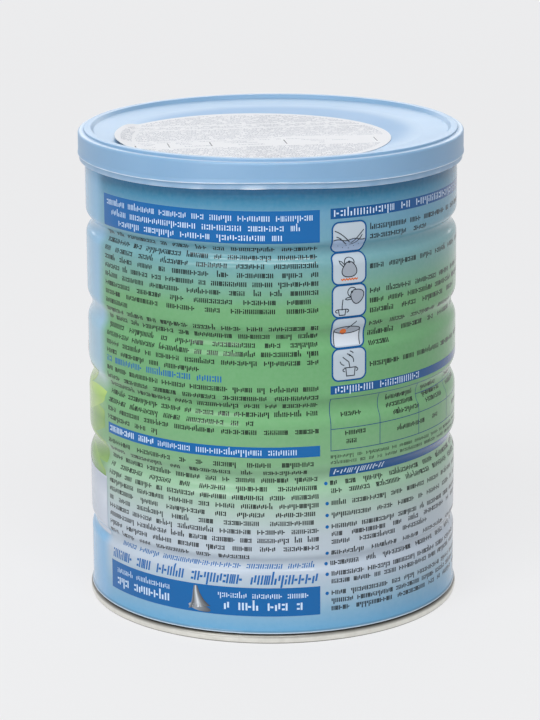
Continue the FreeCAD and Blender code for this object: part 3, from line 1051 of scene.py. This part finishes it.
def pot(middle, foot, wide, high):
    """A small pot with two ears, in lines."""
    left, right = middle - wide / 2, middle + wide / 2
    return stroked(
        np.array([(left - 0.5, foot + high), (right + 0.5, foot + high)]),
        np.array([(left, foot + high), (left + 0.3, foot), (right - 0.3, foot), (right, foot + high)]),
        arc(left - 0.3, foot + high * 0.72, 0.7, 0.5, 90, 270, count=7),
        arc(right + 0.3, foot + high * 0.72, 0.7, 0.5, -90, 90, count=7),
    )


def wash():
    """Water, with cupped hands as plain curves and drops below them."""
    across = np.linspace(-5.6, 5.6, 25)
    surface = np.stack([across, -0.6 + 0.28 * np.sin(np.linspace(0, 12, 25))], -1)
    depth = np.stack([across, np.interp(np.abs(across), (3.7, 5.0, 5.6), (-5.0, -4.3, -3.1))], -1)
    hands = [
        curve((-5.2, 2.6), (-3.0, 1.8), (-1.4, 0.2), (0.2, -1.6)),
        curve((5.2, 2.4), (3.4, 0.6), (2.0, -1.0), (0.6, -1.9)),
        curve((-4.6, 0.6), (-3.2, 0.4), (-2.0, -1.4), (-0.8, -2.4)),
        curve((4.6, 0.8), (3.6, -0.8), (2.2, -2.4), (0.4, -2.6)),
    ]
    places = ((-3.6, -3.0), (-1.8, -3.9), (0.4, -4.2), (2.2, -3.5), (3.8, -2.7), (-0.6, -3.1))
    drops = [("lines", between(*oval(x, y, 0.16, 0.16, count=6))) for x, y in places]
    return [("water", between(depth, surface)), *stroked(surface, *hands), *drops]


def boil():
    """A kettle over a flame."""
    flame = np.stack([np.linspace(-3.0, 3.0, 13), -3.75 + 0.22 * (-1.0) ** np.arange(13)], -1)
    return [*kettle(), ("oranges", strip(flame, 0.42))]


def pour():
    """The kettle pours into a pot."""
    stream = np.array([(-2.3, 0.6), (-2.6, -1.6), (-2.6, -3.0)])
    tipped = kettle((0.4, 0.4), 52, size=0.92, place=(1.9, 1.9))
    return [*tipped, *stroked(stream), *pot(-2.6, -4.6, 2.6, 1.9)]


def measure():
    """A scoop in an open tin."""
    rim = oval(-0.4, 0.9, 4.7, 1.35, count=20)
    sides = np.array([(-5.1, 0.8), (-5.0, -4.6)]), np.array([(4.3, 0.8), (4.2, -4.6)])
    lines = stroked(
        np.vstack([rim[1], rim[0][::-1], rim[1][:1]]),
        np.array([(-5.1, 0.9), (-5.0, -4.7)]),
        np.array([(4.3, 0.9), (4.2, -4.7)]),
        np.array([(-0.6, 1.4), (2.7, 3.9)]),
    )
    bowl = oval(-1.8, 0.35, 1.15, 1.1)
    return [("greys", between(*rim)), ("whites", between(*sides)), *lines, ("oranges", between(*bowl))]


def stir():
    """A spoon in a pot, and curves for its turning."""
    return pot(0.4, -3.9, 3.4, 2.8) + stroked(
        np.array([(0.2, -1.2), (-0.2, 0.8), (-2.4, 2.6)]),
        curve((0.9, 2.3), (0.5, 3.2), (-0.9, 3.6)),
        curve((1.5, 0.6), (1.7, 2.6), (-0.2, 3.0)),
        curve((-3.3, 1.2), (-3.0, 0.0), (-1.8, -0.2)),
        curve((0.2, 4.4), (1.0, 4.3), (1.4, 3.6)),
    )


def pictograms():
    """All five steps in their frames, as a dictionary of patches by part."""
    box = round_box(-6.0, -5.35, 6.0, 5.35, 2.3)
    framed = [("grounds", between(*box)), ("frames", outline(box, 0.56))]
    art = {part: [] for part in PICTOGRAM_PARTS}
    for row, step in enumerate((wash, boil, pour, measure, stir)):
        middle = (RIGHT_COLUMN[0] + 6.6, 140.4 - row * PICTOGRAM_PITCH)
        for part, patches in framed + step():
            art[part].append(patches + middle)
    return art


def bell():
    """A small hand bell for the bottom panel, in strips that turn from dark to light across it.

    Its two sides are smooth curves, and each strip lies between two shares of the way across.
    """
    left = curve((-1.0, 3.9), (-1.7, 1.2), (-1.2, -1.0), (-2.9, -3.4))
    right = curve((0.1, 3.9), (0.7, 1.8), (1.9, -0.6), (4.3, -2.0))
    shares = np.array([0.0, 0.12, 0.3, 0.46, 0.66, 1.0])
    tints = np.array([0.35, 0.1, 0.45, 1.0, 0.3, 0.05])
    edges = [tinted(left + (right - left) * share, tint) for share, tint in zip(shares, tints)]
    strips = [between(first, second) for first, second in zip(edges[:-1], edges[1:])]
    mouth = [tilted(edge, (0.7, -2.8), -10) for edge in oval(0.7, -2.8, 3.6, 1.0)]
    strips.append(between(tinted(mouth[0], 0.55), tinted(mouth[1], 0.1)))
    size, middle = 1.14, (LEFT_COLUMN[0] + 41.2, 14.3, 0)
    return [patches * (size, size, 1) + middle for patches in strips]


# ------------------------------------------------------------------ print: the front and the label
def leaf(foot, tip, sag, width, light):
    """A long leaf: a parabola from foot to tip, and edges that swell as a sine to either side.

    Its tint is `light` at the foot's middle, and more towards the tip and both edges. It is
    cut off at the sides of the front.
    """
    middle = curve(foot, ((foot[0] + tip[0]) / 2, (foot[1] + tip[1]) / 2 + sag), tip, count=21)
    along = np.gradient(middle, axis=0)
    along /= np.linalg.norm(along, axis=1)[:, None]
    aside = np.stack([-along[:, 1], along[:, 0]], -1)
    spread = width * np.sin(np.linspace(0, math.pi, len(middle)))[:, None] ** 0.9
    shade = light + np.linspace(0.0, 0.2, len(middle))
    reach = 106.4
    first, last = (FRONT_MIDDLE - reach, 0), (FRONT_MIDDLE + reach, SHEET_HEIGHT)
    edges = (middle + aside * spread, 0.3), (middle, 0.0), (middle - aside * spread, 0.12)
    upper, middle, lower = (
        tinted(np.clip(edge, first, last), shade + lighter) for edge, lighter in edges)
    return [between(middle, upper), between(lower, middle)]


def leaves():
    """A spray of leaves at each side of the front, the second a mirror of the first."""
    spray = [  # foot and tip from the front's middle, sag, half width, how light
        ((60, 56), (112, 60), -3, 6.0, 0.0), ((66, 60), (116, 54), 3, 5.0, 0.1),
        ((60, 62), (114, 70), 2, 6.4, 0.12), ((70, 56), (112, 48), -3, 4.4, 0.02),
        ((62, 64), (112, 78), 4, 4.6, 0.45), ((58, 66), (100, 85), 6, 4.4, 0.36),
        ((54, 66), (84, 91), 7, 4.6, 0.5), ((52, 66), (71, 95), 3, 4.4, 0.55),
        ((46, 62), (60, 88), 2, 4.6, 0.35), ((40, 60), (66, 74), 4, 4.4, 0.3),
    ]
    patches = []
    for side in (1, -1):
        for number, (foot, tip, sag, width, light) in enumerate(spray):
            ends = [(FRONT_MIDDLE + side * place, height) for place, height in (foot, tip)]
            patches.append((leaf(*ends, sag, width, light), 0.02 + 0.004 * number))
    return patches


def ribbon():
    """The pale ribbon across the front, an arch that falls by half a cosine to both ends.

    Its bands differ in tint, and each turns lighter and darker along it as a sine.
    """
    reach = 107.2
    a = np.linspace(FRONT_MIDDLE - reach, FRONT_MIDDLE + reach, 121)
    away = np.abs(a - FRONT_MIDDLE)
    fall = 0.5 - 0.5 * np.cos(np.clip((away - 8) / 88, 0, 1) * math.pi)
    middle = 62 - 24 * fall
    width = 1 - 0.18 * fall
    sheen = 0.55 + 0.4 * np.sin(away / 19.0 + 0.6)
    bands = ((12.8, 1.0), (11.6, 0.45), (4.0, 1.0), (-6.0, 0.75), (-12.6, 0.95), (-13.4, 0.3))
    edges = [tinted(np.stack([a, middle + offset * width], -1), sheen * share)
             for offset, share in bands]
    return [between(lower, upper) for upper, lower in zip(edges[:-1], edges[1:])]


def blank_badge():
    """The plain oval in the middle of the front, and the thin line round it."""
    edges = oval(FRONT_MIDDLE, GLOW_MIDDLE, 46, 21, count=40)
    return between(*edges), outline(edges, 0.9)


LABEL_LINE = 1.76
LABEL_TEXT = dict(size=1.1, pitch=0.98)
LABEL_BLANKS = ((25.4, 23.4), (17.2, 15.6), (13.2, 12.0), (-3.6, -17.2))
LABEL_RULES = (-40.6, -29.4, -15.3, 9.7, 40.2)
LABEL_REACH, SHORTEST_HALF = 44.6, 8  # marks' distance from the middle; half the shortest line


def label_print():
    """Lines of marks across the label, as long as its circle lets them be."""
    marks = []
    for q in np.arange(41.5, -45, -LABEL_LINE):
        farthest = max(abs(q), abs(q + LABEL_TEXT["size"]))
        half = math.sqrt(max(LABEL_REACH**2 - farthest**2, 0))
        blank = any(low < q < high for high, low in LABEL_BLANKS)
        if not blank and half > SHORTEST_HALF:
            marks.append(line_of_marks(-half, half, q, **LABEL_TEXT))
    for left, right in zip(LABEL_RULES[:-1], LABEL_RULES[1:]):
        middle, wide = (left + right) / 2, (right - left) * 0.62
        marks += [centred_marks(middle, wide * share, q, **LABEL_TEXT)
                  for q, share in ((-8.2, 1.0), (-10.2, 0.7), (-13.8, 0.45))]
    marks.append(line_of_marks(-40, 40, -5.6, size=0.95, pitch=0.95))
    return marks


def label_rules():
    """The upright rules of the label's table."""
    middle, half_width = np.array(LABEL_RULES), 0.2
    return boxes(middle - half_width, -14.2, middle + half_width, -6.8)


# ------------------------------------------------------------------ making the can
wall = make_wall()
seam = make_bottom_end()
overcap = make_overcap()
label = make_label()
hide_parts("can_body")
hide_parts("bottom_end")
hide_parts("lid")
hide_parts("lid_sticker")

inks = {name: plain_ink(name, *look) for name, look in INKS.items()}
inks["bell"] = shaded_ink("bell", (24, 28, 34), (206, 212, 218))
inks["leaf"] = shaded_ink("leaf", (76, 128, 66), (178, 208, 108))
inks["ribbon"] = shaded_ink("ribbon", (160, 171, 190), (230, 234, 240))

badge, badge_line = blank_badge()
wall_print = [  # piece, patches, ink, how proud
    ("left_bars", left_bars(), "bar", 0.02),
    ("right_bars", right_bars(), "deep_bar", 0.02),
    ("white_print", white_print(), "white", 0.04),
    ("left_print", left_print(), "black", 0.02),
    ("right_print", right_print(), "black", 0.02),
    ("blue_print", blue_print(), "blue", 0.02),
    ("table_lines", table_lines(), "line", 0.03),
    *((f"pictogram_{part}", patches, *PICTOGRAM_PARTS[part]) for part, patches in pictograms().items()),
    ("bell", bell(), "bell", 0.04),
    *((f"leaf_{number}", patches, "leaf", lift) for number, (patches, lift) in enumerate(leaves())),
    ("ribbon", ribbon(), "ribbon", 0.075),
    ("badge", badge, "badge", 0.02),
    ("badge_line", badge_line, "bar", 0.04),
]
print_pieces = [ink(name, patches, inks[look], lift) for name, patches, look, lift in wall_print]
label_pieces = [
    ink("label_print", label_print(), inks["label_print"], 0.03, place=lay),
    ink("label_rules", label_rules(), inks["label_rule"], 0.04, place=lay),
]

for piece in (wall, seam, overcap, label, *print_pieces, *label_pieces):
    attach(piece, "root")


# ------------------------------------------------------------------ floor, light, camera
def seen_rays(tree):
    """1 for what the camera sees, straight or in gloss or glass, and 0 for light that falls."""
    straight, gloss, glass = (
        add_node(tree, "ShaderNodeLightPath", output=f"Is {kind} Ray")
        for kind in ("Camera", "Glossy", "Transmission"))
    return straight.math("MAXIMUM", gloss).math("MAXIMUM", glass)


def make_floor():
    """A pale floor that fills the view: mostly glow to the camera, and a grey that takes the shadow."""
    material, tree = new_finish("floor")
    grey = add_node(tree, "ShaderNodeBsdfDiffuse", None, {"Color": screen(226, 227, 229)})
    glow = add_node(tree, "ShaderNodeEmission", None, {"Color": screen(239, 239, 240), "Strength": 1.0})
    factor = seen_rays(tree) * 0.82
    mixed = add_node(tree, "ShaderNodeMixShader", None, {0: factor, 1: grey, 2: glow})
    add_node(tree, "ShaderNodeOutputMaterial", None, {"Surface": mixed})
    corners = np.array([(-4, -4, 0), (4, -4, 0), (4, 4, 0), (-4, 4, 0)]) / MM
    floor = put_mesh("floor", corners, [np.array([[0, 1, 2, 3]])], material)


def light_world():
    """White to look at and in gloss, and a plain fill where it lights."""
    world = bpy.data.worlds.new("studio")
    bpy.context.scene.world = world
    world.use_nodes = True
    tree = world.node_tree
    tree.nodes.clear()
    strength = seen_rays(tree) * 0.55 + 0.33
    colour = screen(252, 253, 255)
    glow = add_node(tree, "ShaderNodeBackground", None, {"Color": colour, "Strength": strength})
    add_node(tree, "ShaderNodeOutputWorld", None, {"Surface": glow})


def softbox(name, place, target, wide, high, power):
    """A rectangular lamp at `place` that looks at `target`, in metres."""
    lamp = bpy.data.lights.new(name, "AREA")
    lamp.shape = "RECTANGLE"
    lamp.size = wide
    lamp.size_y = high
    lamp.energy = power
    holder = bpy.data.objects.new(name, lamp)
    aim = Vector(target) - Vector(place)
    holder.matrix_world = Matrix.Translation(place) @ aim.to_track_quat("-Z", "Y").to_matrix().to_4x4()
    bpy.context.scene.collection.objects.link(holder)


def turned_pair(first, second, angle):
    """Two axes at right angles, the first turned towards the second."""
    return (math.cos(angle) * first + math.sin(angle) * second,
            math.cos(angle) * second - math.sin(angle) * first)


def place_camera():
    """A long lens that looks down on the can, turned and rolled a hair."""
    place = (0, -0.9618, 0.3348)
    look_down, yaw, roll = math.radians(14.78), -0.0007, -0.0056
    ahead = Vector((0, math.cos(look_down), -math.sin(look_down)))
    right = Vector((1, 0, 0))
    up = Vector((0, math.sin(look_down), math.cos(look_down)))
    ahead, right = turned_pair(ahead, right, yaw)
    right, up = turned_pair(right, up, roll)
    camera = bpy.data.cameras.new("camera")
    camera.sensor_fit = "VERTICAL"
    camera.sensor_height = 36
    camera.lens = 142.93
    camera.clip_end = 50
    holder = bpy.data.objects.new("camera", camera)
    axes = Matrix((right, up, -ahead)).transposed().to_4x4()
    holder.matrix_world = Matrix.Translation(place) @ axes
    bpy.context.scene.collection.objects.link(holder)
    bpy.context.scene.camera = holder


make_floor()
light_world()
# The streak is a narrow lamp, for the thin highlights on the rims and beads.
softbox("key", (-0.15, -1.25, 1.70), (0, 0, 0.08), 2.0, 0.4, 26)
softbox("streak", (-0.1, -0.74, 1.58), (0, -0.06, 0.13), 1.25, 0.06, 5.5)
softbox("left_fill", (-1.3, -1.8, 0.55), (0, 0, 0.08), 1.3, 1.0, 13)
softbox("back", (0, 2.3, 1.25), (0, 0, 0.12), 3.4, 1.5, 26)
place_camera()
bpy.context.scene.view_settings.view_transform = "Standard"
